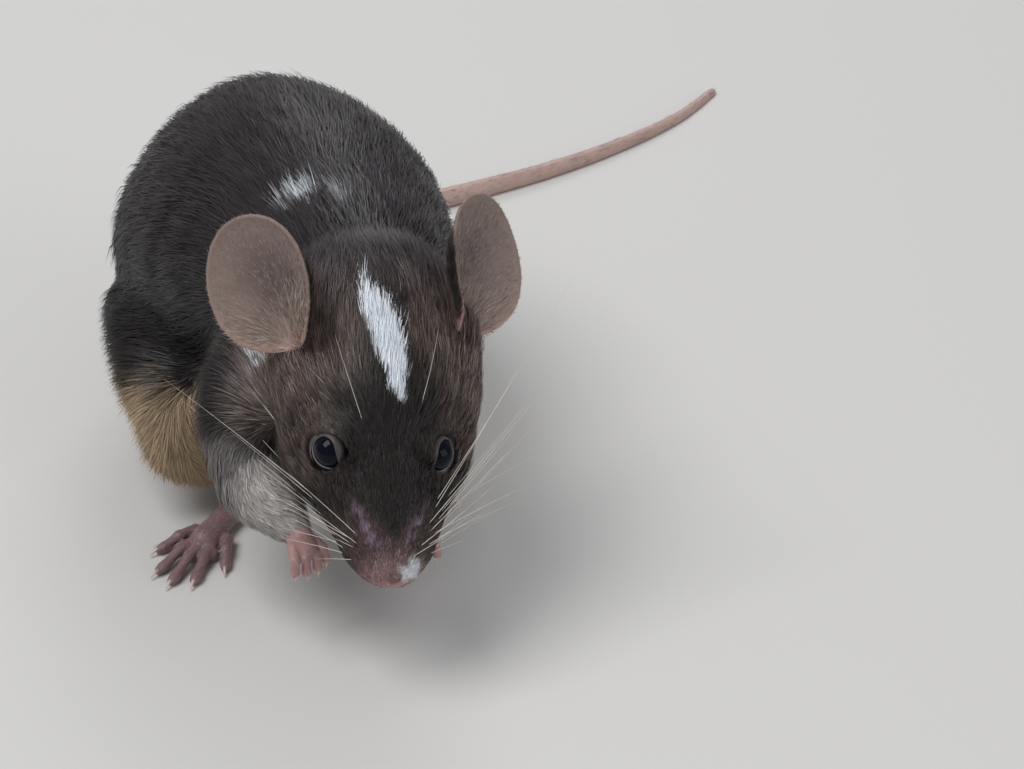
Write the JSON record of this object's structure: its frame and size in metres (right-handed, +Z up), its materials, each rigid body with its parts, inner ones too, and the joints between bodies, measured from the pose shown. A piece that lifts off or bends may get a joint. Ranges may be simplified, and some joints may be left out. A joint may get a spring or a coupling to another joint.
{
  "type": "house mouse model",
  "caption": "Life-size still model of a house mouse sitting hunched, forepaws held up under the muzzle, dark coat with a white blaze.",
  "frame": {"origin": "middle of the footprint's bounding box, at the level of the soles", "axes": "+X towards the mouse's left, +Y from its nose towards its tail, +Z up from the floor it sits on"},
  "size_m": [0.0906, 0.1066, 0.0444],
  "materials": {
    "dark_coat": "short glossy fur, near black with a brown sheen",
    "pale_coat": "short cream and grey fur",
    "ear_skin": "thin skin with very short hair",
    "bare_skin": "bare pink skin, slightly moist",
    "eye_gloss": "wet black gloss"
  },
  "bodies": {
    "root": {"head": "dark_coat", "neck": "dark_coat", "chest": "dark_coat", "loin": "dark_coat", "rump": "dark_coat", "upper_arm_right": "dark_coat", "upper_arm_left": "dark_coat", "forearm_right": "pale_coat", "forearm_left": "pale_coat", "forepaw_right": "bare_skin", "forepaw_left": "bare_skin", "thigh_right": "dark_coat", "thigh_left": "dark_coat", "shank_right": "pale_coat", "shank_left": "pale_coat", "hind_foot_right": "bare_skin", "hind_foot_left": "bare_skin", "ear_right": "ear_skin", "ear_left": "ear_skin", "eye_right": "eye_gloss", "eye_left": "eye_gloss", "tail_root": "bare_skin", "tail_middle": "bare_skin", "tail_tip": "bare_skin"}
  },
  "joints": []
}
